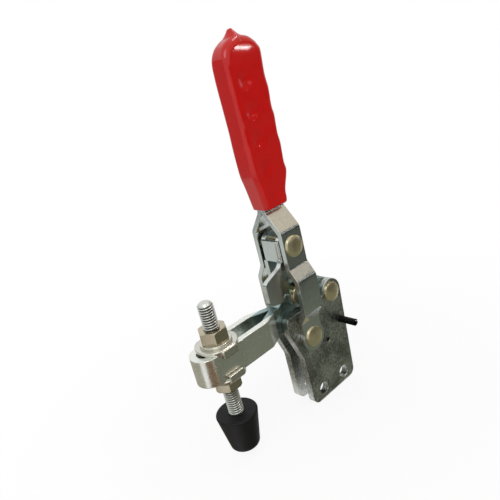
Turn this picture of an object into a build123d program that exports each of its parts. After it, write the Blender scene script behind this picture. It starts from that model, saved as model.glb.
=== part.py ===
from build123d import *
import os
from math import acos, atan2, cos, degrees, dist, radians, sin, tan

# Vertical-handle toggle clamp with a slotted U-bar arm and a straight side-plate base.
# Millimetres. X points forward along the arm, +Y to the left side and +Z up. The origin lies midway
# between the two mounting holes, on the mid-plane of the clamp. The clamp is drawn closed and locked.

# ---- driving dimensions -----------------------------------------------------------------------------
# Pivots, as (x, z) on the mid-plane
handle_pivot = (8.0, 27.0)      # handle straps on the base
arm_pivot = (-9.25, 38.75)      # arm on the base
link_handle_joint = (8.0, 67.5)  # link on the handle straps
link_arm_joint = (7.7, 46.0)    # link on the arm, just behind dead centre when locked
handle_open = 70.0              # degrees that the handle swings back

# Sheet thicknesses and the play between neighbouring sheets
leg_thickness = 2.7             # each leg of the U-bar
plate_thickness = 3.2           # base plates
cheek_thickness = 2.0           # sides of the link
strap_thickness = 2.0           # handle straps
side_play = 0.1
pin_play = 0.05                 # radial, between a pin and the hole it turns in

# Base plates
mount_hole_spacing = 13.6
mount_hole_radius = 2.75
plate_bottom = -4.7
plate_front = 14.0
plate_rear_bottom = -13.4
plate_knee = 18.5               # height where the front edge starts to lean forward
nose_reach = 18.9
nose_height = 33.0
plate_top = 39.5
arm_lobe_radius = 5.7
plate_corner_radius = 3.5
tooling_hole = (-1.4, 19.4)
tooling_hole_radius = 1.1

# Arm
arm_bottom = 33.5
arm_height = 11.0
slot_width = 7.4
arm_front = 60.6
jog_gap = 1.6                   # from the nose of the plates to where the legs leave each other
jog_length = 8.0
jog_radius = 3.0
arm_rear_radius = 5.6
arm_crown_radius = 5.4          # round the link joint

# Link
link_top_radius = 5.5
link_foot_radius = 5.3
fold_radius = 1.6                # outside, between the web and the cheeks
web_bottom = 62.3
web_height = 8.6
tongue_front = 23.8
tongue_top = 57.6
tongue_bottom = 48.2
tongue_corner_radius = 1.8
arm_clearance = 2.1             # under the tongue, which stops the handle past dead centre
long_hole_play = 0.2            # round the path of the arm's rivet in the link

# Handle straps
strap_width = 10.5
strap_boss_radius = 6.1
bulge_offset = 3.4              # the straps swell round the rivet heads of the arm
lower_jog = (35.2, 40.6)        # heights at the start and end of each bend in the straps
upper_jog = (53.6, 59.2)
neck_start = 74.0
neck_clearance = 1.6            # from the end of the neck's slope to the mouth of the grip
strap_bend_radius = 3.0
tang_width = 12.0
tang_top = 138.0
tang_start = 88.0

# Dipped vinyl grip
grip_bottom = 83.8
grip_top = 146.4
grip_front = 16.2
grip_rear = -1.0
grip_mouth = (3.0, 12.9)        # rear and front edge at the open end
grip_shoulder = 95.5            # where the taper from the mouth ends
grip_thickness = 9.4
grip_edge = 1.8                 # rounding of the long edges
grip_crown_radius = 7.0
finger_count = 4
finger_depth = 0.6
nub_radius = 1.7                # at its tip
nub_round = 1.2
nub_foot_radius = 3.6
nub_height = 2.2
nub_foot_sink = 0.4             # of the nub's foot below the top of the crown
dimple_radius = 2.6
dimple_depth = 0.5
dimple_first = 99.0
dimple_pitch = 10.6
dimple_count = 4
dimple_x = 10.0

# Rivets
base_pin_radius = 3.0           # through the handle straps, the plates and the spacer
pin_radius = 2.5                # the other three
head_radius = 4.3
small_head_radius = 4.2
head_rim = 0.5
head_dome = 0.9
spacer_radius = 4.9

# Slotted stop pin for the open handle
stop_pin_place = (-11.4, 24.3)
stop_pin_radius = 1.5
stop_pin_wall = 0.5
stop_pin_reach = 8.2            # out of the left plate

# Spindle set
spindle_x = 49.0
thread_radius = 3.0
thread_top = 62.4
thread_chamfer = 0.7
nut_across_flats = 10.0
nut_height = 5.0
washer_thickness = 1.5
washer_bore_play = 0.2
tab_width = 6.6
tab_length = 1.9
tab_play = 0.2
plain_washer_radius = 6.2
plain_washer_thickness = 1.1
tip_bottom = -0.8
tip_height = 16.0
tip_top_radius = 8.4
tip_foot_radius = 5.7
tip_round = 2.0
tip_rim_round = 0.7
bolt_head_height = 4.0
bolt_head_cover = 5.0           # rubber under the bolt head

# ---- places worked out from them --------------------------------------------------------------------
base_inner = leg_thickness + side_play
base_outer = base_inner + plate_thickness
link_inner = leg_thickness + 2 * side_play
link_outer = link_inner + cheek_thickness
strap_inner = max(base_outer, link_outer) + side_play
strap_outer = strap_inner + strap_thickness
leg_outer = slot_width / 2 + leg_thickness
link_front = link_handle_joint[0] + link_top_radius
arm_top = arm_bottom + arm_height
jog_start = nose_reach + jog_gap
handle_x = handle_pivot[0]
sides = (("left", 1), ("right", -1))


def turned(point, centre, angle):
    """Point swung about the centre; a positive angle lifts what lies in front of the centre."""
    dx, dz = point[0] - centre[0], point[1] - centre[1]
    return (centre[0] + dx * cos(angle) - dz * sin(angle), centre[1] + dx * sin(angle) + dz * cos(angle))


def bearing(start, end):
    """Direction from one point to another, anticlockwise from +X."""
    return atan2(end[1] - start[1], end[0] - start[0])


# The open position closes the four-bar loop: the link joint lies on a circle about the arm pivot and on
# one about the swung handle joint.
full_swing = radians(handle_open)
open_handle_joint = turned(link_handle_joint, handle_pivot, full_swing)
arm_radius = dist(arm_pivot, link_arm_joint)
link_length = dist(link_arm_joint, link_handle_joint)
spread = dist(arm_pivot, open_handle_joint)
corner = acos((arm_radius**2 + spread**2 - link_length**2) / (2 * arm_radius * spread))
open_arm_bearing = bearing(arm_pivot, open_handle_joint) - corner
arm_open = open_arm_bearing - bearing(arm_pivot, link_arm_joint)
open_arm_joint = turned(link_arm_joint, arm_pivot, arm_open)
link_open = bearing(open_handle_joint, open_arm_joint) - bearing(link_handle_joint, link_arm_joint)
link_open = link_open % radians(360)
arm_ratio = arm_open / full_swing
link_ratio = link_open / full_swing - 1


def arm_pin_in_link(share):
    """Place of the arm's pin as the link sees it, at a share of the full swing with steady ratios."""
    swing = share * full_swing
    handle_end = turned(link_handle_joint, handle_pivot, swing)
    pin = turned(link_arm_joint, arm_pivot, arm_ratio * swing)
    seen = turned(pin, handle_end, -(1 + link_ratio) * swing)
    return (seen[0] - handle_end[0] + link_handle_joint[0], seen[1] - handle_end[1] + link_handle_joint[1])


def side_plane(y):
    """Sketch plane seen from the right, at this y, that extrudes towards -Y."""
    return Plane.XZ.offset(-y)


def finish(piece, label):
    """Name a piece and write its STEP file."""
    piece.part.label = label
    export_step(piece.part, f"parts/{label}.step")


os.makedirs("parts", exist_ok=True)


# ---- base -------------------------------------------------------------------------------------------
for side_name, side in sides:
    with BuildPart() as base_plate:
        with BuildSketch(side_plane(base_outer if side > 0 else -base_inner)) as outline:
            with BuildLine():
                Polyline(
                    (plate_rear_bottom, plate_bottom),
                    (plate_front, plate_bottom),
                    (plate_front, plate_knee),
                    (nose_reach, nose_height),
                    (nose_reach, plate_top),
                    (arm_pivot[0], plate_top),
                    (arm_pivot[0] - arm_lobe_radius, arm_pivot[1]),
                    close=True,
                )
            make_face()
            with Locations(arm_pivot):
                Circle(arm_lobe_radius)
            corners = outline.vertices().group_by(Axis.Y)[0]
            fillet(corners, plate_corner_radius)
            knee = outline.vertices().sort_by_distance((plate_front, plate_knee))[0]
            fillet(knee, 2 * plate_corner_radius)
            nose = outline.vertices().sort_by_distance((nose_reach, plate_top))[0]
            fillet(nose, plate_corner_radius / 2)
            with GridLocations(mount_hole_spacing, 0, 2, 1):
                Circle(mount_hole_radius, mode=Mode.SUBTRACT)
            with Locations(arm_pivot):
                Circle(pin_radius + pin_play, mode=Mode.SUBTRACT)
            with Locations(handle_pivot):
                Circle(base_pin_radius + pin_play, mode=Mode.SUBTRACT)
            with Locations(stop_pin_place):
                Circle(stop_pin_radius, mode=Mode.SUBTRACT)
            with Locations(tooling_hole):
                Circle(tooling_hole_radius, mode=Mode.SUBTRACT)
        extrude(amount=plate_thickness)
    finish(base_plate, f"base_plate_{side_name}")


def rivet(place, radius, reach, rim_radius, label):
    """Headed pin across the clamp: its heads lie on faces at +-reach and are low spherical domes."""
    rim = reach + head_rim
    dome_radius = (rim_radius**2 + head_dome**2) / (2 * head_dome)
    middle_angle = (radians(90) + acos(rim_radius / dome_radius)) / 2
    middle = (dome_radius * cos(middle_angle), rim + head_dome - dome_radius * (1 - sin(middle_angle)))
    axis = Axis((place[0], 0, place[1]), (0, 1, 0))
    with BuildPart() as pin:
        for half in (1, -1):
            with BuildSketch(Plane((place[0], 0, place[1]), x_dir=(1, 0, 0), z_dir=(0, 0, half))):
                with BuildLine():
                    shank = Polyline((0, 0), (radius, 0), (radius, reach), (rim_radius, reach), (rim_radius, rim))
                    dome = ThreePointArc(shank @ 1, middle, (0, rim + head_dome))
                    Line(dome @ 1, shank @ 0)
                make_face()
            revolve(axis=axis)
    finish(pin, label)


# Rivets in the base: the arm turns on one, the handle straps on the other
rivet(arm_pivot, pin_radius, base_outer, small_head_radius, "arm_pivot_rivet")
rivet(handle_pivot, base_pin_radius, strap_outer, head_radius, "handle_pivot_rivet")

# Spacer that keeps the plates apart round the handle rivet
with BuildPart() as base_spacer:
    with BuildSketch(side_plane(base_inner)):
        with Locations(handle_pivot):
            Circle(spacer_radius)
            Circle(base_pin_radius + pin_play, mode=Mode.SUBTRACT)
    extrude(amount=2 * base_inner)
finish(base_spacer, "base_spacer")

# Slotted spring pin through both plates: the rear edge of the left strap stops against its free end
with BuildPart() as stop_pin:
    with BuildSketch(side_plane(base_outer + stop_pin_reach)):
        with Locations(stop_pin_place):
            Circle(stop_pin_radius)
            Circle(stop_pin_radius - stop_pin_wall, mode=Mode.SUBTRACT)
            with Locations((-stop_pin_radius, 0)):
                Rectangle(2 * stop_pin_radius, stop_pin_wall, mode=Mode.SUBTRACT)
    extrude(amount=2 * base_outer + stop_pin_reach)
finish(stop_pin, "stop_pin")


# ---- arm --------------------------------------------------------------------------------------------
# One strip bent round the front into a U, its legs pressed together behind the slot. Its plan is
# drawn as the bent strip, and its side view trims the legs to their height and round the joints.
jog_end = jog_start + jog_length
miter = leg_thickness * tan(atan2(leg_outer - leg_thickness, jog_length) / 2)
bend_x = arm_front - leg_outer
with BuildPart() as clamp_arm:
    with BuildSketch(Plane.XY.offset(arm_pivot[1] - 2 * arm_rear_radius)):
        with BuildSketch(mode=Mode.PRIVATE) as outside:
            with BuildLine():
                Polyline(
                    (arm_pivot[0] - arm_rear_radius, 0),
                    (arm_pivot[0] - arm_rear_radius, leg_thickness),
                    (jog_start, leg_thickness),
                    (jog_end, leg_outer),
                    (bend_x, leg_outer),
                    (bend_x, 0),
                    close=True,
                )
            make_face()
            for bend in ((jog_start, leg_thickness), (jog_end, leg_outer)):
                fillet(outside.vertices().sort_by_distance(bend)[0], jog_radius)
        with BuildSketch(mode=Mode.PRIVATE) as slot:
            with BuildLine():
                Polyline(
                    (jog_start + miter, 0),
                    (jog_end + miter, slot_width / 2),
                    (bend_x, slot_width / 2),
                    (bend_x, 0),
                    close=True,
                )
            make_face()
            fillet(slot.vertices().sort_by_distance((jog_end + miter, slot_width / 2))[0], jog_radius)
        add(outside.sketch)
        with Locations((bend_x, 0)):
            Circle(leg_outer)
        add(slot.sketch, mode=Mode.SUBTRACT)
        mirror(about=Plane.XZ)
        add(slot.sketch, mode=Mode.SUBTRACT)
        add(slot.sketch.mirror(Plane.XZ), mode=Mode.SUBTRACT)
        with Locations((bend_x, 0)):
            Circle(slot_width / 2, mode=Mode.SUBTRACT)
    extrude(amount=link_arm_joint[1] - arm_pivot[1] + 4 * arm_rear_radius)
    with BuildSketch(side_plane(leg_outer)):
        with BuildSketch(mode=Mode.PRIVATE) as joints:
            with Locations(arm_pivot):
                Circle(arm_rear_radius)
            with Locations(link_arm_joint):
                Circle(arm_crown_radius)
        make_hull(joints.edges())
        with BuildLine():
            Polyline(
                (arm_pivot[0], arm_bottom),
                (arm_front, arm_bottom),
                (arm_front, arm_top),
                (link_arm_joint[0] + 2 * arm_crown_radius, arm_top),
                (link_arm_joint[0], link_arm_joint[1] + 0.9 * arm_crown_radius),
                arm_pivot,
                close=True,
            )
        make_face()
        with Locations(arm_pivot, link_arm_joint):
            Circle(pin_radius + pin_play, mode=Mode.SUBTRACT)
    extrude(amount=2 * leg_outer, mode=Mode.INTERSECT)
finish(clamp_arm, "clamp_arm")
rivet(link_arm_joint, pin_radius, link_outer + side_play, small_head_radius, "link_arm_rivet")


# ---- link -------------------------------------------------------------------------------------------
# Folded from one sheet: a web joins the two cheeks in front of the handle rivet, and the left cheek
# reaches forward in a tongue, which stops on the arm's left leg when the clamp is locked. The hole for
# the arm's rivet is long, because the loop opens there.
tongue_low = (link_front + 4, arm_top + arm_clearance)
tongue_root = (link_arm_joint[0] + 1.45 * link_foot_radius, arm_top + arm_clearance + 3)
front_foot = (link_arm_joint[0] + link_foot_radius, link_arm_joint[1])
swings = [step / 16 for step in range(17)]
with BuildSketch(Plane.XZ) as long_hole:
    with BuildSketch(mode=Mode.PRIVATE) as travel:
        with Locations(*(arm_pin_in_link(share) for share in swings)):
            Circle(pin_radius + long_hole_play)
    make_hull(travel.edges())
with BuildPart() as link:
    for side_name, side in sides:
        with BuildSketch(side_plane(link_outer if side > 0 else -link_inner)) as cheek:
            with BuildLine():
                Polyline(
                    (link_handle_joint[0] - link_top_radius, link_handle_joint[1]),
                    (link_arm_joint[0] - link_foot_radius, link_arm_joint[1]),
                    front_foot,
                    (link_front, web_bottom - 1),
                    (link_front, link_handle_joint[1]),
                    close=True,
                )
            make_face()
            with Locations(link_handle_joint):
                Circle(link_top_radius)
            with Locations(link_arm_joint):
                Circle(link_foot_radius)
            if side > 0:
                with BuildSketch(mode=Mode.PRIVATE) as tongue:
                    with BuildLine():
                        Polyline(
                            link_arm_joint,
                            tongue_root,
                            tongue_low,
                            (tongue_front, tongue_bottom),
                            (tongue_front, tongue_top),
                            (link_front, web_bottom - 1),
                            (link_handle_joint[0], web_bottom - 1),
                            close=True,
                        )
                    make_face()
                    rounded = [tongue_low, (tongue_front, tongue_bottom), (tongue_front, tongue_top)]
                    for corner_place in rounded:
                        fillet(tongue.vertices().sort_by_distance(corner_place)[0], tongue_corner_radius)
                add(tongue.sketch)
                hollow = cheek.vertices().sort_by_distance((link_front, web_bottom - 1))[0]
                fillet(hollow, 2 * tongue_corner_radius)
            with Locations(link_handle_joint):
                Circle(pin_radius + pin_play, mode=Mode.SUBTRACT)
            add(long_hole.sketch, mode=Mode.SUBTRACT)
        extrude(amount=cheek_thickness)
    with BuildSketch(Plane.XY.offset(web_bottom)) as web:
        with Locations((link_front, 0)):
            Rectangle(cheek_thickness, 2 * link_outer, align=(Align.MAX, Align.CENTER))
    extrude(amount=web_height)
    with BuildSketch(Plane.XY.offset(web_bottom)) as fold_waste:
        with Locations((link_front, 0)):
            Rectangle(fold_radius, 2 * link_outer, align=(Align.MAX, Align.CENTER))
        with BuildSketch(mode=Mode.PRIVATE) as folded:
            with Locations((link_front, 0)):
                RectangleRounded(4 * fold_radius, 2 * link_outer, fold_radius, align=(Align.MAX, Align.CENTER))
        add(folded.sketch, mode=Mode.SUBTRACT)
    extrude(amount=web_height, mode=Mode.SUBTRACT)
finish(link, "link")
rivet(link_handle_joint, pin_radius, strap_outer, head_radius, "link_handle_rivet")


# ---- handle -----------------------------------------------------------------------------------------
# Each strap is a bent strip: its front view is drawn as the strip, and its side view trims it.
strap_middle = strap_inner + strap_thickness / 2
bulge_middle = strap_middle + bulge_offset
tang_middle = strap_thickness / 2
strap_foot = handle_pivot[1] - strap_boss_radius
for side_name, side in sides:
    with BuildPart() as handle_strap:
        with BuildSketch(Plane.YZ.offset(handle_x - tang_width)):
            with BuildLine():
                FilletPolyline(
                    (side * strap_middle, strap_foot),
                    (side * strap_middle, lower_jog[0]),
                    (side * bulge_middle, lower_jog[1]),
                    (side * bulge_middle, upper_jog[0]),
                    (side * strap_middle, upper_jog[1]),
                    (side * strap_middle, neck_start),
                    (side * tang_middle, grip_bottom - neck_clearance),
                    (side * tang_middle, tang_top),
                    radius=strap_bend_radius,
                )
            trace(line_width=strap_thickness)
        extrude(amount=2 * tang_width)
        with BuildSketch(side_plane(strap_outer + bulge_offset)) as side_view:
            with Locations((handle_x, handle_pivot[1])):
                Rectangle(strap_width, tang_top - handle_pivot[1], align=(Align.CENTER, Align.MIN))
                Circle(strap_boss_radius)
            with Locations((handle_x, tang_start)):
                Rectangle(tang_width, tang_top - tang_start, align=(Align.CENTER, Align.MIN))
            fillet(side_view.vertices().group_by(Axis.Y)[-1], tang_width / 2.2)
            with Locations(handle_pivot):
                Circle(base_pin_radius + pin_play, mode=Mode.SUBTRACT)
            with Locations(link_handle_joint):
                Circle(pin_radius + pin_play, mode=Mode.SUBTRACT)
        extrude(amount=2 * (strap_outer + bulge_offset), mode=Mode.INTERSECT)
    finish(handle_strap, f"handle_strap_{side_name}")

# Dipped grip: a rounded slab with finger hollows along its rear, a nub where the dip ran off, and
# shallow dimples over the holes of the tang
grip_middle = (grip_front + grip_rear) / 2
finger_zone = grip_top - grip_crown_radius - grip_shoulder
finger_pitch = finger_zone / finger_count
finger_radius = (finger_pitch**2 / 4 + finger_depth**2) / (2 * finger_depth)
finger_centre = grip_rear + finger_depth - finger_radius
with BuildPart() as grip:
    with BuildSketch(side_plane(grip_thickness / 2)) as outline:
        with BuildLine():
            Polyline(
                (grip_rear, grip_shoulder),
                (grip_mouth[0], grip_bottom),
                (grip_mouth[1], grip_bottom),
                (grip_front, grip_shoulder),
                (grip_front, grip_top),
                (grip_rear, grip_top),
                close=True,
            )
        make_face()
        fillet(outline.vertices().group_by(Axis.Y)[1], 2 * grip_crown_radius)
        fillet(outline.vertices().group_by(Axis.Y)[-1], grip_crown_radius)
    extrude(amount=grip_thickness)
    fillet(grip.faces().filter_by(Axis.Y).edges(), grip_edge)
    with BuildSketch(side_plane(grip_thickness)):
        for finger in range(finger_count):
            with Locations((finger_centre, grip_shoulder + (finger + 0.5) * finger_pitch)):
                Circle(finger_radius)
    extrude(amount=2 * grip_thickness, mode=Mode.SUBTRACT)
    nub_rim = (grip_middle + nub_radius, grip_top + nub_height)
    with BuildSketch(Plane.XZ) as nub_half:
        with BuildLine():
            Polyline(
                (grip_middle, grip_top - nub_foot_radius),
                (grip_middle + nub_foot_radius, grip_top - nub_foot_radius),
                (grip_middle + nub_foot_radius, grip_top - nub_foot_sink),
                nub_rim,
                (grip_middle, grip_top + nub_height),
                close=True,
            )
        make_face()
        fillet(nub_half.vertices().sort_by_distance(nub_rim)[0], nub_round)
    revolve(axis=Axis((grip_middle, 0, 0), (0, 0, 1)))
    tang_cut = 2 * strap_thickness
    with BuildSketch(side_plane(strap_thickness)) as tang_slot:
        with Locations((handle_x, grip_bottom)):
            Rectangle(tang_width, tang_top - grip_bottom, align=(Align.CENTER, Align.MIN))
        fillet(tang_slot.vertices().group_by(Axis.Y)[-1], tang_width / 2.2)
    extrude(amount=tang_cut, mode=Mode.SUBTRACT)
    for side_name, side in sides:
        dimple_y = side * (grip_thickness / 2 + dimple_radius - dimple_depth)
        for dimple in range(dimple_count):
            with Locations((dimple_x, dimple_y, dimple_first + dimple * dimple_pitch)):
                Sphere(dimple_radius, mode=Mode.SUBTRACT)
finish(grip, "grip")


# ---- spindle set ------------------------------------------------------------------------------------
# The set slides along the slot of the arm. Its flanged washers hook over the legs with two tabs each.
tab_inner = leg_outer + tab_play
tab_outer = tab_inner + washer_thickness
for washer_name, seat, up in (("upper", arm_top, 1), ("lower", arm_bottom, -1)):
    with BuildPart() as washer:
        with BuildSketch(Plane.XY.offset(seat)):
            with Locations((spindle_x, 0)):
                Circle(tab_outer)
                Rectangle(tab_width, 2 * tab_outer)
        extrude(amount=up * washer_thickness)
        with BuildSketch(Plane.XY.offset(seat + up * washer_thickness)):
            for side_name, side in sides:
                with Locations((spindle_x, side * (tab_inner + tab_outer) / 2)):
                    Rectangle(tab_width, washer_thickness)
        extrude(amount=-up * (washer_thickness + tab_length))
        fold_height = seat + up * washer_thickness
        folds = washer.edges().filter_by(Axis.X).filter_by_position(Axis.Z, fold_height - 0.01, fold_height + 0.01)
        fillet(folds, washer_thickness * 0.8)
        with Locations((spindle_x, 0, seat)):
            Cylinder(thread_radius + washer_bore_play, 4 * washer_thickness, mode=Mode.SUBTRACT)
    finish(washer, f"flanged_washer_{washer_name}")

plain_washer_seat = arm_top + washer_thickness
with BuildPart() as plain_washer:
    with BuildSketch(Plane.XY.offset(plain_washer_seat)):
        with Locations((spindle_x, 0)):
            Circle(plain_washer_radius)
            Circle(thread_radius + washer_bore_play, mode=Mode.SUBTRACT)
    extrude(amount=plain_washer_thickness)
finish(plain_washer, "plain_washer")

corner_radius = nut_across_flats / (2 * cos(radians(30)))
chamfer_size = corner_radius - nut_across_flats / 2
upper_nut_seat = plain_washer_seat + plain_washer_thickness
lower_nut_seat = arm_bottom - washer_thickness - nut_height
for nut_name, seat in (("upper", upper_nut_seat), ("lower", lower_nut_seat)):
    with BuildPart() as nut:
        with BuildSketch(Plane.XY.offset(seat)):
            with Locations((spindle_x, 0)):
                RegularPolygon(corner_radius, 6)
        extrude(amount=nut_height)
        with BuildSketch(Plane.XZ) as turned_blank:
            with Locations((spindle_x, seat)):
                Rectangle(corner_radius, nut_height, align=(Align.MIN, Align.MIN))
            rims = turned_blank.vertices().group_by(Axis.X)[-1]
            chamfer(rims, chamfer_size * 0.6, chamfer_size)
        revolve(axis=Axis((spindle_x, 0, 0), (0, 0, 1)), mode=Mode.INTERSECT)
        with Locations((spindle_x, 0, seat + nut_height / 2)):
            Cylinder(thread_radius + pin_play, nut_height, mode=Mode.SUBTRACT)
    finish(nut, f"nut_{nut_name}")

# Hexagon-head bolt, head down inside the rubber tip
head_seat = tip_bottom + bolt_head_cover
with BuildPart() as spindle:
    with BuildSketch(Plane.XY.offset(head_seat)):
        with Locations((spindle_x, 0)):
            RegularPolygon(corner_radius, 6)
    extrude(amount=bolt_head_height)
    with BuildSketch(Plane.XY.offset(head_seat)):
        with Locations((spindle_x, 0)):
            Circle(thread_radius)
    extrude(amount=thread_top - head_seat)
    chamfer(spindle.edges().group_by(Axis.Z)[-1], thread_chamfer)
finish(spindle, "spindle")

with BuildPart() as rubber_tip:
    with BuildSketch(Plane.XZ) as half_section:
        with BuildLine():
            Polyline(
                (spindle_x, tip_bottom),
                (spindle_x + tip_foot_radius, tip_bottom),
                (spindle_x + tip_top_radius, tip_bottom + tip_height),
                (spindle_x, tip_bottom + tip_height),
                close=True,
            )
        make_face()
        foot = half_section.vertices().sort_by_distance((spindle_x + tip_foot_radius, tip_bottom))[0]
        fillet(foot, tip_round)
        rim = half_section.vertices().sort_by_distance((spindle_x + tip_top_radius, tip_bottom + tip_height))[0]
        fillet(rim, tip_rim_round)
    revolve(axis=Axis((spindle_x, 0, 0), (0, 0, 1)))
    with BuildSketch(Plane.XY.offset(head_seat)):
        with Locations((spindle_x, 0)):
            RegularPolygon(corner_radius, 6)
    extrude(amount=bolt_head_height, mode=Mode.SUBTRACT)
    with BuildSketch(Plane.XY.offset(head_seat)):
        with Locations((spindle_x, 0)):
            Circle(thread_radius)
    extrude(amount=tip_height, mode=Mode.SUBTRACT)
finish(rubber_tip, "rubber_tip")

print(f"arm opens {degrees(arm_open):.2f} deg, arm ratio {arm_ratio:.5f}, link ratio {link_ratio:.5f}")
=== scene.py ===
import bmesh
import bpy
import numpy as np
from mathutils import Matrix, Vector


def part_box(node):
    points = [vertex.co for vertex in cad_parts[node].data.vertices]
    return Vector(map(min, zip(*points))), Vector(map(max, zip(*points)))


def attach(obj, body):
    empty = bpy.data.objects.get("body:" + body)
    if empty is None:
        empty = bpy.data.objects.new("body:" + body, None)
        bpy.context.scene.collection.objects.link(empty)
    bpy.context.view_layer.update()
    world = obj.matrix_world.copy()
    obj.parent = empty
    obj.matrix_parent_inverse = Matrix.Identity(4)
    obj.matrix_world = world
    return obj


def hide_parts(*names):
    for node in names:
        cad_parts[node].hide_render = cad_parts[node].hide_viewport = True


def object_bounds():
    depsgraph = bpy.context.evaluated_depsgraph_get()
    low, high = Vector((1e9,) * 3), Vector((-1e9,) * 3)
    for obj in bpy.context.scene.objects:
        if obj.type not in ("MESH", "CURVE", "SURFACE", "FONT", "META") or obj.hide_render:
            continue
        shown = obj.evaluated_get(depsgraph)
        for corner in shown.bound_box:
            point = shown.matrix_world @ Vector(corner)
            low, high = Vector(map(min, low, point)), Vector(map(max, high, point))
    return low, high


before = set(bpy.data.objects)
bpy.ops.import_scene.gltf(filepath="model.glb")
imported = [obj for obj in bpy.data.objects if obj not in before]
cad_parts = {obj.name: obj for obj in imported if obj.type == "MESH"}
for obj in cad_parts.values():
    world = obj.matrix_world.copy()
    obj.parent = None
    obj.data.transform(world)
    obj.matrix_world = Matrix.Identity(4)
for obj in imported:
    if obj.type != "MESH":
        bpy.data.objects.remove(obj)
cad_low, cad_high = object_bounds()

# ---- camera -----------------------------------------------------------------------------------------
# The clamp is seen from its front left, a little from above and with the camera rolled, as when it is
# held out over a white table. Metres.
camera_place = Vector((0.1398, 0.1482, 0.1385))
camera_back = Vector((0.5833, 0.7399, 0.3351)).normalized()
camera_up = Vector((-0.3968, -0.1004, 0.9124))
focal_pixels = 530.8
image_pixels = 500
sensor_mm = 36.0

camera_right = camera_up.cross(camera_back).normalized()
camera_up = camera_back.cross(camera_right)
turn = Matrix((camera_right, camera_up, camera_back)).transposed().to_4x4()
camera_data = bpy.data.cameras.new("camera")
camera_data.sensor_width = sensor_mm
camera_data.lens = focal_pixels / image_pixels * sensor_mm
camera_data.clip_start = 0.005
camera_data.clip_end = 20
camera = bpy.data.objects.new("camera", camera_data)
camera.matrix_world = Matrix.Translation(camera_place) @ turn
bpy.context.collection.objects.link(camera)
bpy.context.scene.camera = camera
bpy.context.scene.view_settings.view_transform = "Standard"


# ---- studio -----------------------------------------------------------------------------------------
# A white sweep and soft lamps, with dull cards round the clamp. Polished metal and glossy vinyl show what
# stands round them, so the cards give each side its own tone.
class Value:
    """A socket of a node tree. Arithmetic on it adds the Math nodes that work it out."""

    def __init__(self, finish, socket):
        self.finish = finish
        self.socket = socket

    def __add__(self, other):
        return self.finish.maths("ADD", self, other)

    def __radd__(self, other):
        return self.finish.maths("ADD", other, self)

    def __sub__(self, other):
        return self.finish.maths("SUBTRACT", self, other)

    def __rsub__(self, other):
        return self.finish.maths("SUBTRACT", other, self)

    def __mul__(self, other):
        return self.finish.maths("MULTIPLY", self, other)

    def __rmul__(self, other):
        return self.finish.maths("MULTIPLY", other, self)


class Finish:
    """The node tree of a material or of the world, and the ways to fill it."""

    def __init__(self, owner):
        owner.use_nodes = True
        self.owner = owner
        self.tree = owner.node_tree

    def feed(self, socket, value):
        """Links a Value to a socket, or sets anything else on it."""
        if isinstance(value, Value):
            self.tree.links.new(value.socket, socket)
        else:
            socket.default_value = value

    def node(self, kind, settings=None, inputs=None, output=0):
        """Adds a node, its settings first and then its sockets, and gives one of its outputs."""
        new = self.tree.nodes.new("ShaderNode" + kind)
        for name, setting in (settings or {}).items():
            setattr(new, name, setting)
        for name, value in (inputs or {}).items():
            self.feed(new.inputs[name], value)
        return Value(self, new.outputs[output])

    def maths(self, operation, first, second=0.0):
        return self.node("Math", {"operation": operation}, {0: first, 1: second})

    def blend(self, share, start, end):
        """The colour between start and end at this share of the way."""
        return self.node("Mix", {"data_type": "RGBA"}, {0: share, 6: start, 7: end}, output=2)

    def shade(self, inputs):
        """Sets or links sockets of the Principled shader."""
        shader = self.tree.nodes["Principled BSDF"]
        for name, value in inputs.items():
            self.feed(shader.inputs[name], value)

    def show(self, surface):
        """Puts another surface in the place of the Principled shader."""
        self.tree.nodes.remove(self.tree.nodes["Principled BSDF"])
        self.feed(self.tree.nodes["Material Output"].inputs["Surface"], surface)


def rgb(red, green, blue):
    """Scene colour of a display colour given in 0 to 255."""
    display = np.array((red, green, blue)) / 255
    linear = np.where(display <= 0.04045, display / 12.92, ((display + 0.055) / 1.055) ** 2.4)
    return (*linear.tolist(), 1.0)


def seen_directly(finish):
    """1 for rays from the camera and for those that metal or glass sends on, 0 for light on the object."""
    camera_ray, glossy_ray, clear_ray = (finish.node("LightPath", output=name) for name in (
        "Is Camera Ray", "Is Glossy Ray", "Is Transmission Ray"))
    return finish.maths("MINIMUM", camera_ray + glossy_ray + clear_ray, 1.0)


def mesh_object(name, points, smooth_faces=(), flat_faces=()):
    """A mesh object from an array of points and lists of face arrays, shaded smooth and shaded flat."""
    smooth = [face for faces in smooth_faces for face in faces.tolist()]
    flat = [face for faces in flat_faces for face in faces.tolist()]
    mesh = bpy.data.meshes.new(name)
    mesh.from_pydata(points.tolist(), [], smooth + flat)
    mesh.polygons.foreach_set("use_smooth", np.arange(len(mesh.polygons)) < len(smooth))
    mesh.update()
    thing = bpy.data.objects.new(name, mesh)
    bpy.context.collection.objects.link(thing)
    return thing


def card(name, centre, across, up, material):
    """A flat rectangle, given by its centre and its two half-edges, that belongs to the studio."""
    centre, across, up = (np.array(v, float) for v in (centre, across, up))
    corners = np.array((centre - across - up, centre + across - up, centre + across + up,
                        centre - across + up))
    thing = mesh_object(name, corners, flat_faces=[np.array([[0, 1, 2, 3]])])
    thing.data.materials.append(material)
    return thing


# the room is white where it is seen and dimmer where it lights the clamp
room_light = 0.6
world = bpy.data.worlds.new("white_room")
room = Finish(world)
background = room.tree.nodes["Background"]
room.feed(background.inputs["Color"], (1.0, 1.0, 1.0, 1.0))
room.feed(background.inputs["Strength"], room_light + seen_directly(room) * (1 - room_light))
bpy.context.scene.world = world

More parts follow.
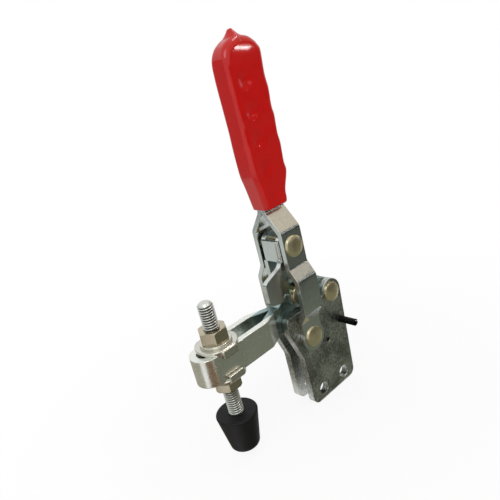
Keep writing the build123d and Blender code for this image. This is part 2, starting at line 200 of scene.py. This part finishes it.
# the floor glows white where it is seen, apart from a share of real paper under the clamp that takes its
# shadow and fades out with the distance
floor_half = 3.0
shadow_share = 0.14
shadow_reach = 0.16
paper = Finish(bpy.data.materials.new("white_floor"))
matt = paper.node("BsdfDiffuse", inputs={"Color": (0.9, 0.9, 0.9, 1.0)})
glow = paper.node("Emission", inputs={"Color": (1.0, 1.0, 1.0, 1.0), "Strength": 1.0})
from_origin = {0: paper.node("TexCoord", output="Object")}
away = paper.node("VectorMath", {"operation": "LENGTH"}, from_origin, output="Value")
nearness = paper.maths("MAXIMUM", 1 - away * (1 / shadow_reach), 0.0)
glow_share = seen_directly(paper) * (1 - shadow_share * nearness)
paper.show(paper.node("MixShader", inputs={0: glow_share, 1: matt, 2: glow}))
card("floor", (0, 0, cad_low[2]), (floor_half, 0, 0), (0, floor_half, 0), paper.owner)


def dull_card(name, colour, centre, across, up):
    """A card that only polished surfaces see. It shades nothing and isn't in view."""
    paint = Finish(bpy.data.materials.new(name))
    paint.show(paint.node("Emission", inputs={"Color": colour, "Strength": 1.0}))
    thing = card(name, centre, across, up, paint.owner)
    thing.visible_camera = False
    thing.visible_diffuse = False
    thing.visible_shadow = False
    thing.visible_transmission = False


# the cards that lie flat are just over the floor, and those on top of them a little higher
low = cad_low[2] + 0.0004
over = low + 0.0002

# the left sides mirror the table behind and to the left, darker further off, and a dark wall behind it
dull_card("olive_card", rgb(118, 121, 108), (-0.67, 0.383, low), (0.73, 0, 0), (0, 0.377, 0))
dull_card("slate_card", rgb(90, 93, 86), (-0.71, 0.425, over), (0.665, 0, 0), (0, 0.335, 0))
dull_card("dark_wall_card", rgb(52, 56, 54), (-0.55, 0.75, 0.10), (0.95, 0, 0), (0, 0, 0.11))

# the corners between left and front mirror the edge of a wooden bench and a cardboard box
bench_way = np.array((0.57, 0.82, 0.0))
bench_side = np.array((-0.82, 0.57, 0.0))
dull_card("bench_card", rgb(122, 100, 76), (0.139, 0.132, over), 0.038 * bench_side, 0.130 * bench_way)
dull_card("box_card", rgb(150, 118, 86), (0.215, 0.03, low), (0.03, 0, 0), (0, 0.05, 0))

# the fronts mirror the table to the right, the low ones its near end and the high ones its far end, and
# the grip's front a grey wall behind it
dull_card("near_card", rgb(166, 162, 148), (0.16, -0.05, low), (0.14, 0, 0), (0, 0.05, 0))
dull_card("pale_card", rgb(222, 226, 222), (0.26, -0.155, low), (0.24, 0, 0), (0, 0.055, 0))
dull_card("far_card", rgb(150, 153, 152), (0.30, -0.46, low), (0.28, 0, 0), (0, 0.25, 0))
dull_card("side_wall_card", rgb(150, 150, 148), (0.52, -0.62, 0.15), (0.27, 0.22, 0), (0, 0, 0.19))

# faces that lean up and to the left mirror a warm wall over the table
warm_way = Vector((-0.58, 0.54, 0.60)).normalized()
warm_across = Vector((0, 0, 1)).cross(warm_way).normalized()
warm_up = warm_way.cross(warm_across)
warm_centre = 0.62 * warm_way + 0.05 * warm_up
dull_card("warm_card", rgb(232, 216, 196), warm_centre, 0.30 * warm_across, 0.15 * warm_up)

# the grip's broad face mirrors a dark curtain, with a narrow strip lamp in front of it
curtain_way = Vector((-0.67, 0.74, 0.0)).normalized()
curtain_across = Vector((curtain_way.y, -curtain_way.x, 0.0))
curtain_centre = 0.82 * curtain_way + Vector((0, 0, 0.25))
dull_card("curtain_card", rgb(46, 50, 48), curtain_centre, 0.24 * curtain_across, (0, 0, 0.13))

# the inner sides mirror a bluish shaded stretch of the table behind and to the right
dull_card("teal_card", rgb(84, 106, 112), (-0.235, -0.29, low), (0.225, 0, 0), (0, 0.26, 0))


def lamp(name, place, target, width, height, watts, roll=0.0):
    """A rectangular area lamp that faces its target, rolled about that line by an angle in radians."""
    data = bpy.data.lights.new(name, "AREA")
    data.shape = "RECTANGLE"
    data.size = width
    data.size_y = height
    data.energy = watts
    thing = bpy.data.objects.new(name, data)
    aim = Vector(target) - Vector(place)
    facing = aim.to_track_quat("-Z", "Y").to_matrix().to_4x4()
    thing.matrix_world = Matrix.Translation(place) @ facing @ Matrix.Rotation(roll, 4, "Z")
    bpy.context.collection.objects.link(thing)


clamp_middle = (0.02, 0.0, 0.06)
grip_crown = (0.008, 0.005, 0.139)
lamp("key_lamp", (0.31, 0.27, 0.52), clamp_middle, 0.30, 0.30, 0.85)
lamp("tube_lamp", (-0.30, 0.15, 0.72), clamp_middle, 0.26, 0.03, 0.5)
lamp("strip_lamp", (-0.466, 0.515, 0.211), grip_crown, 0.026, 0.007, 0.023, roll=-0.5)


# ---- base plates, spacer ----------------------------------------------------------------------------
# Two stamped steel plates carry the clamp. They are zinc plated over a coarse rolled skin, so they look
# duller and more grainy than the rest, and rivets and a spacer hold them together.
def shaded(colour, shares):
    """A colour with its red, green and blue each multiplied by their share."""
    return (*(channel * share for channel, share in zip(colour, shares)), 1.0)


def steel_finish(name, colour, roughness, grain, edge, skin, patches=(0.80, 0.82, 0.80), contrast=2.5,
                 shade_within=0.0):
    """Zinc-plated steel: rolled grain in two sizes, faint stains, and edges rounded by the tumbler.
    grain is the size of the skin's bumps, skin their strength, and edge the rounding. The darker patches
    keep these shares of the colour, and contrast is how sharply they stand out. Closer to the middle plane
    than the last argument, behind the spindle, the colour is painted darker and bluish as shade between
    the arm's legs. Lengths in metres."""
    plating = Finish(bpy.data.materials.new(name))
    place = plating.node("TexCoord", output="Object")
    fine = plating.node("TexNoise", inputs={"Vector": place, "Scale": 1 / grain, "Detail": 3.0})
    stain = plating.node("TexNoise", inputs={"Vector": place, "Scale": 95.0, "Detail": 2.0})
    tone = (stain * 0.5 + fine * 0.5 - 0.5) * contrast + 0.5
    zinc = plating.blend(tone, shaded(colour, patches), colour)
    # painted shade: the arm's legs are darkened and made bluish where they face each other behind the
    # spindle
    if shade_within:
        slot_end = 0.053
        lengthways = plating.node("SeparateXYZ", inputs={0: place}, output="X")
        sideways = plating.node("SeparateXYZ", inputs={0: place}, output="Y")
        leg_shade = plating.node("MapRange", inputs={
            "Value": plating.maths("ABSOLUTE", sideways), "From Min": shade_within - 0.0001, "From Max": shade_within,
            "To Min": 1.0, "To Max": 0.0})
        leg_shade = leg_shade * plating.maths("LESS_THAN", lengthways, slot_end)
        zinc = plating.blend(leg_shade, zinc, shaded(colour, (0.33, 0.44, 0.46)))
    rounded = plating.node("Bevel", {"samples": 6}, {"Radius": edge})
    bumped = plating.node("Bump", inputs={
        "Strength": skin, "Distance": grain * 0.25, "Height": fine, "Normal": rounded})
    plating.shade({"Base Color": zinc, "Metallic": 1.0, "Roughness": roughness - 0.06 + fine * 0.12,
                   "Normal": bumped})
    return plating.owner


def dress(material, *nodes):
    """Gives CAD nodes a material in each of their slots."""
    for node in nodes:
        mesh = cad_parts[node].data
        if not mesh.materials:
            mesh.materials.append(material)
        for number in range(len(mesh.materials)):
            mesh.materials[number] = material


plate_zinc = steel_finish("plate_zinc", rgb(206, 208, 204), roughness=0.34, grain=0.0009, edge=0.0005,
                          skin=1.0, patches=(0.34, 0.345, 0.33), contrast=4.5)
dress(plate_zinc, "base_plate_left", "base_plate_right", "base_spacer")


# ---- arm --------------------------------------------------------------------------------------------
# A bar of flat steel bent round into a U and pressed together behind the slot. It is zinc plated and
# brighter than the plates, with a smooth cold-rolled skin, and painted darker and bluish as shade where
# its legs face each other.
arm_zinc = steel_finish("arm_zinc", rgb(238, 240, 234), roughness=0.25, grain=0.0009, edge=0.00045,
                        skin=0.18, shade_within=0.0037)
dress(arm_zinc, "clamp_arm")


# ---- link and handle straps -------------------------------------------------------------------------
# The link is folded from thin sheet and the straps are stamped and bent from it. All of them have the
# bluish white of new zinc.
sheet_zinc = steel_finish("sheet_zinc", rgb(212, 216, 214), roughness=0.22, grain=0.0012, edge=0.0003,
                          skin=0.18)
dress(sheet_zinc, "link", "handle_strap_left", "handle_strap_right")


# ---- rivets -----------------------------------------------------------------------------------------
# Turned steel rivets with low domed heads, closed by a rotating punch. Their plating has turned a little
# yellow.
rivet_zinc = steel_finish("rivet_zinc", rgb(252, 240, 204), roughness=0.30, grain=0.0016, edge=0.0002,
                          skin=0.06, patches=(0.80, 0.76, 0.66), contrast=1.5)
dress(rivet_zinc, "arm_pivot_rivet", "handle_pivot_rivet", "link_arm_rivet", "link_handle_rivet")


# ---- stop pin ---------------------------------------------------------------------------------------
# A rolled spring pin of hardened steel, left black from the furnace and pressed into the plates. It stands
# out of the left one.
pin_black = steel_finish("pin_black", rgb(34, 34, 36), roughness=0.34, grain=0.0005, edge=0.0001, skin=0.2)
dress(pin_black, "stop_pin")


# ---- washers and nuts -------------------------------------------------------------------------------
# Pressed washers with folded tabs, a plain washer and two hexagon nuts clamp the spindle to the arm.
# They are zinc plated, the nuts with a thin yellow passivation. The nuts' colour is also a little darker
# and browner, a painted reflection of a cardboard box.
washer_zinc = steel_finish("washer_zinc", rgb(216, 214, 204), roughness=0.24, grain=0.0010, edge=0.0009,
                           skin=0.1)
# painted reflection: the nut colour is made darker and browner, standing in for a mirrored cardboard box
nut_zinc = steel_finish("nut_zinc", rgb(190, 182, 162), roughness=0.20, grain=0.0008, edge=0.0003,
                        skin=0.08, patches=(0.84, 0.80, 0.72))
dress(washer_zinc, "flanged_washer_upper", "flanged_washer_lower", "plain_washer")
dress(nut_zinc, "nut_upper", "nut_lower")


# ---- spindle ----------------------------------------------------------------------------------------
# A zinc-plated machine screw, head down in the rubber tip, with a rolled 60 degree thread of 1 mm pitch
# over its whole visible length and a chamfered end.
pitch = 0.001
crest_flat = 1 / 8              # of a pitch, and the root's flat is as long
thread_depth = 0.00061
thread_radius = 0.003
steps_per_pitch = 16
round_steps = 40
end_chamfer = 0.0011
in_rubber = 0.002

spindle_top = float(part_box("spindle")[1][2])
tip_low, tip_high = (np.array(corner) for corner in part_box("rubber_tip"))
spindle_centre = (tip_low[:2] + tip_high[:2]) / 2


def grid_faces(rows, columns):
    """Quads between neighbouring rows of a grid whose columns close on themselves."""
    row, column = np.meshgrid(np.arange(rows - 1), np.arange(columns), indexing="ij")
    along = (column + 1) % columns
    corners = (row * columns + column, row * columns + along, (row + 1) * columns + along,
               (row + 1) * columns + column)
    return np.stack(corners, -1).reshape(-1, 4)


def threaded_rod(name, centre, bottom, top, radius):
    """Rod with a thread: the radius falls from the crest by the depth times a flat-topped wave of the
    height in pitches less the share of a turn, and a cone chamfers the upper end."""
    height = np.linspace(bottom, top, int((top - bottom) / pitch * steps_per_pitch) + 1)
    turn_share = np.arange(round_steps) / round_steps
    z, share = np.meshgrid(height, turn_share, indexing="ij")
    phase = (z / pitch - share) % 1
    wave = np.clip((np.abs(phase - 0.5) * 2 - crest_flat) / (1 - 2 * crest_flat), 0, 1)
    r = np.minimum(radius - thread_depth * wave, radius - end_chamfer + (top - z))
    x, y = centre[0] + r * np.cos(2 * np.pi * share), centre[1] + r * np.sin(2 * np.pi * share)
    skin = np.stack((x, y, z), -1).reshape(-1, 3)
    poles = np.array(((*centre, bottom), (*centre, top)))
    rim = np.arange(round_steps)
    after = (rim + 1) % round_steps
    last = (len(height) - 1) * round_steps
    bottom_cap = np.stack((np.full(round_steps, len(skin)), after, rim), -1)
    top_cap = np.stack((np.full(round_steps, len(skin) + 1), last + rim, last + after), -1)
    return mesh_object(name, np.concatenate((skin, poles)), [grid_faces(len(height), round_steps)],
                       [bottom_cap, top_cap])


def thread_finish(name, crest_colour, root_shade_colour, roughness):
    """Zinc on a rolled thread: bright where the crests rub and on the end face, and darker in the roots,
    where the colour is painted shade together with grime. The mask is the distance from the screw's axis,
    from 0 at the root to 1 at the crest."""
    axis = (float(spindle_centre[0]), float(spindle_centre[1]), 0.0)
    plating = Finish(bpy.data.materials.new(name))
    place = plating.node("TexCoord", output="Object")
    level = plating.node("VectorMath", {"operation": "MULTIPLY"}, {0: place, 1: (1.0, 1.0, 0.0)})
    out = plating.node("VectorMath", {"operation": "DISTANCE"}, {0: level, 1: axis}, output="Value")
    crest = plating.node("MapRange", inputs={
        "Value": out, "From Min": thread_radius - thread_depth, "From Max": thread_radius - 0.00012})
    height = plating.node("SeparateXYZ", inputs={0: place}, output="Z")
    end_face = plating.node("MapRange", inputs={
        "Value": height, "From Min": spindle_top - 0.0009, "From Max": spindle_top - 0.0007})
    # painted shade: towards the roots the colour darkens, shade together with grime, and crests and end stay
    # bright
    crest_wear_and_root_shade = plating.maths("MAXIMUM", crest, end_face)
    plating.shade({"Base Color": plating.blend(crest_wear_and_root_shade, root_shade_colour, crest_colour), "Metallic": 1.0,
                   "Roughness": roughness + 0.15 * (1 - crest_wear_and_root_shade),
                   "Normal": plating.node("Bevel", {"samples": 6}, {"Radius": 0.0001})})
    return plating.owner


screw = threaded_rod("threaded_spindle", spindle_centre, tip_high[2] - in_rubber, spindle_top, thread_radius)
# the second, darker colour is painted shade together with grime in the thread's roots
screw.data.materials.append(thread_finish("screw_zinc", rgb(204, 206, 200), rgb(88, 90, 86), 0.28))
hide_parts("spindle")
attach(screw, "spindle_body")


# ---- rubber tip -------------------------------------------------------------------------------------
# A tapered cap of black rubber moulded over the screw's head. It is matt, with a fine spark-eroded
# texture from the mould.
def rubber_finish(name, colour, roughness, grain, depth):
    """Matt rubber: a fine even texture, and paler dust where the large mottling is high."""
    rubber = Finish(bpy.data.materials.new(name))
    place = rubber.node("TexCoord", output="Object")
    fine = rubber.node("TexNoise", inputs={"Vector": place, "Scale": 1 / grain, "Detail": 2.0})
    dust = rubber.node("TexNoise", inputs={"Vector": place, "Scale": 220.0, "Detail": 3.0})
    texture = rubber.node("Bump", inputs={"Strength": 0.35, "Distance": depth, "Height": fine})
    rubber.shade({"Base Color": rubber.blend(dust, colour, shaded(colour, (1.6, 1.6, 1.6))),
                  "Roughness": roughness + (dust - 0.5) * 0.2, "Specular IOR Level": 0.25,
                  "Normal": texture})
    return rubber.owner


tip_rubber = rubber_finish("tip_rubber", rgb(15, 15, 16), roughness=0.60, grain=0.0004, depth=0.0001)
dress(tip_rubber, "rubber_tip")


# ---- grip -------------------------------------------------------------------------------------------
# The handle is dipped in red vinyl. The skin sags into the finger hollows and the holes of the tang,
# thickens at the rounded top, and ends there in the nub where the last of the dip ran off.
half_thickness = 0.0047
edge_round = 0.0019
crown_round = 0.0029
crown_from = 0.1370
crown_full = 0.1450
lean_from = 0.1280
crown_lean = 0.0009
swell_from = 0.0955
swell_length = 0.0415
swell_height = 0.00005
nub_place = 0.0076
nub_rise = 0.0022
nub_foot = 0.0036
nub_top = 0.26                  # share of the foot that is flat on top
nub_hollow = 1.35
nub_from = 0.1438
cup_column = 0.0100
cup_heights = (0.0991, 0.1098, 0.1199, 0.1309)
cup_reach = 0.0041
cup_sink = 0.0006
outer_from = 0.62               # share of the half thickness where the broad faces' forms set in
lip = 0.0011
lip_profile = ((1.0, 0.0015), (1.0, 0.0002), (0.75, -0.00025), (0.4, -0.0003), (0.12, -0.0001))
mouth_depth = 0.0015
levels = 240
broad_steps = 30
corner_steps = 9
narrow_steps = 20
front_side = np.array(((13.5, 83.7), (14.0, 86.4), (14.65, 90.4), (15.3, 93.9), (16.1, 98.0), (16.4, 106.0),
                       (16.3, 116.0), (16.5, 126.0), (16.6, 134.0), (16.3, 139.6), (14.9, 142.6),
                       (13.1, 144.2), (10.9, 145.4), (7.6, 146.4))) / 1000
rear_side = np.array(((2.1, 83.7), (1.7, 85.2), (1.6, 87.8), (0.6, 90.6), (-0.5, 93.0), (-1.3, 95.8),
                      (-0.9, 99.1), (-1.3, 105.5), (-0.9, 109.8), (-1.3, 116.0), (-0.9, 119.9),
                      (-1.35, 126.0), (-0.95, 130.9), (-1.5, 137.0), (-1.8, 140.2), (-0.9, 142.2),
                      (0.3, 143.7), (2.7, 145.3), (7.6, 146.4))) / 1000


def smooth_curve(knots, count):
    """Curve through the knots with tangents from their neighbours (Catmull-Rom), resampled so that its
    points lie evenly along it."""
    ends = np.concatenate((2 * knots[:1] - knots[1:2], knots, 2 * knots[-1:] - knots[-2:-1]))
    span = np.linspace(0, len(knots) - 1 - 1e-9, 20 * len(knots))
    k, t = span.astype(int), (span % 1)[:, None]
    before, start, end, after = ends[k], ends[k + 1], ends[k + 2], ends[k + 3]
    curve = 0.5 * (2 * start + (end - before) * t + (2 * before - 5 * start + 4 * end - after) * t**2
                   + (3 * start - before - 3 * end + after) * t**3)
    length = np.concatenate(((0,), np.cumsum(np.linalg.norm(np.diff(curve, axis=0), axis=1))))
    even = np.linspace(0, length[-1], count)
    return np.stack([np.interp(even, length, curve[:, axis]) for axis in (0, 1)], -1)


def inward(curve, side):
    """Unit normals of a side outline that point into the grip. side is 1 for the front, -1 for the rear."""
    along = np.gradient(curve, axis=0)
    along /= np.linalg.norm(along, axis=1, keepdims=True)
    normal = side * np.stack((-along[:, 1], along[:, 0]), -1)
    normal[-1] = (0, -1)
    return normal


def grip_rings():
    """Rings across the grip, from mouth to crown. Each goes round four quarter-rounded edges, two narrow
    faces on the outlines and two broad faces between them. Returns x, y and z as one array."""
    front, rear = smooth_curve(front_side, levels), smooth_curve(rear_side, levels)
    front_in, rear_in = inward(front, 1), inward(rear, -1)
    climb = np.clip(((front[:, 1] + rear[:, 1]) / 2 - crown_from) / (crown_full - crown_from), 0, 1)
    rounding = (edge_round + (crown_round - edge_round) * climb**2 * (3 - 2 * climb))[:, None]
    bend = np.linspace(0, np.pi / 2, corner_steps)
    sink, rise = rounding * (1 - np.cos(bend)), half_thickness - rounding * (1 - np.sin(bend))
    share = np.linspace(0, 1, broad_steps + 1)[1:-1]
    across = np.linspace(-1, 1, narrow_steps + 1)[1:-1] * (half_thickness - rounding)

    def edge(outline, normal, sinks, rises):
        place = outline[:, None] + normal[:, None] * sinks[..., None]
        return np.concatenate((place[..., :1], rises[..., None], place[..., 1:]), -1)

    def broad(start, end, y):
        place = start[:, None] + (end - start)[:, None] * share[:, None]
        return np.concatenate((place[..., :1], np.full(place[..., :1].shape, y), place[..., 1:]), -1)

    front_flat, rear_flat = front + front_in * rounding, rear + rear_in * rounding
    level = np.zeros(across.shape)
    return np.concatenate((
        edge(front, front_in, level, across),
        edge(front, front_in, sink, rise),
        broad(front_flat, rear_flat, half_thickness),
        edge(rear, rear_in, sink[:, ::-1], rise[:, ::-1]),
        edge(rear, rear_in, level, across[:, ::-1]),
        edge(rear, rear_in, sink, -rise),
        broad(rear_flat, front_flat, -half_thickness),
        edge(front, front_in, sink[:, ::-1], -rise[:, ::-1]),
    ), 1)


rings = grip_rings()
x, y, z = rings[..., 0], rings[..., 1], rings[..., 2]

# the nub stands on the crown with hollow flanks: a power of what is left of its foot
from_nub = np.hypot(x - nub_place, y) / nub_foot
flank = np.clip(1 - np.clip(from_nub - nub_top, 0, 1) / (1 - nub_top), 0, 1)
z += np.where(z > nub_from, nub_rise * flank**nub_hollow, 0)

# round cups sink into the broad faces over the holes of the tang: the square of one less the square of the
# distance, with a weight that fades towards the middle plane so that the narrow faces stay smooth
outer = np.clip((np.abs(y) / half_thickness - outer_from) / (1 - outer_from), 0, 1)
for cup_height in cup_heights:
    cup = np.clip(1 - (np.hypot(x - cup_column, z - cup_height) / cup_reach) ** 2, 0, 1) ** 2
    y -= np.sign(y) * cup_sink * cup * outer

# towards the crown the broad faces lean in by the square of the height
lean = np.clip((z - lean_from) / (z.max() - lean_from), 0, 1)
y *= 1 - crown_lean / half_thickness * lean**2

# between the cups the broad faces are a little full, by a sine wave that fades out at both ends
swell_share = np.clip((z - swell_from) / swell_length, 0, 1)
y += np.sign(y) * swell_height * np.sin(8 * np.pi * swell_share) * np.sin(np.pi * swell_share) * outer

mouth = rings[:1]
middle = mouth.mean(1, keepdims=True)
outwards = (mouth - middle) * np.array((1, 1, 0))
reach = np.linalg.norm(outwards, axis=-1, keepdims=True)


def mouth_ring(keep, climb):
    """The lowest ring, keeping this share of its reach and lifted by climb."""
    return middle + outwards * keep + np.array((0, 0, climb))


# the mouth: a rolled lip, a step in, and a floor that closes round the straps
lip_rings = [mouth_ring(1 - lip * share / reach, climb) for share, climb in lip_profile]
stack = np.concatenate((mouth_ring(0.05, mouth_depth), *lip_rings, rings))
columns = stack.shape[1]
floor_cap = np.arange(columns)[::-1][None]
dipped_grip = mesh_object("dipped_grip", stack.reshape(-1, 3),
                          [grid_faces(len(stack), columns), floor_cap])


def close_up(thing, gap=0.00001):
    """Merges doubled points at seams and poles and turns every face outwards."""
    shape = bmesh.new()
    shape.from_mesh(thing.data)
    bmesh.ops.remove_doubles(shape, verts=shape.verts, dist=gap)
    bmesh.ops.dissolve_degenerate(shape, edges=shape.edges, dist=gap / 10)
    bmesh.ops.recalc_face_normals(shape, faces=shape.faces)
    shape.to_mesh(thing.data)
    shape.free()


close_up(dipped_grip)


def vinyl_finish(name, colour):
    """Dipped vinyl: a soft red body with slow waves where the dip sagged and fine pits, under a clear
    skin with a hard gloss."""
    vinyl = Finish(bpy.data.materials.new(name))
    place = vinyl.node("TexCoord", output="Object")
    sag = vinyl.node("TexNoise", inputs={"Vector": place, "Scale": 170.0, "Detail": 1.0})
    fine = vinyl.node("TexNoise", inputs={"Vector": place, "Scale": 1100.0, "Detail": 2.0})
    waves = vinyl.node("Bump", inputs={"Strength": 0.25, "Distance": 0.0004, "Height": sag})
    pits = vinyl.node("Bump", inputs={
        "Strength": 0.15, "Distance": 0.00006, "Height": fine, "Normal": waves})
    vinyl.shade({"Base Color": vinyl.blend(sag, shaded(colour, (0.86, 0.86, 0.86)), colour),
                 "Roughness": 0.26 + fine * 0.06, "Specular IOR Level": 0.15, "Coat Weight": 0.6,
                 "Coat Roughness": 0.05, "Normal": pits})
    return vinyl.owner


dipped_grip.data.materials.append(vinyl_finish("red_vinyl", rgb(204, 10, 5)))
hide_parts("grip")
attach(dipped_grip, "handle")
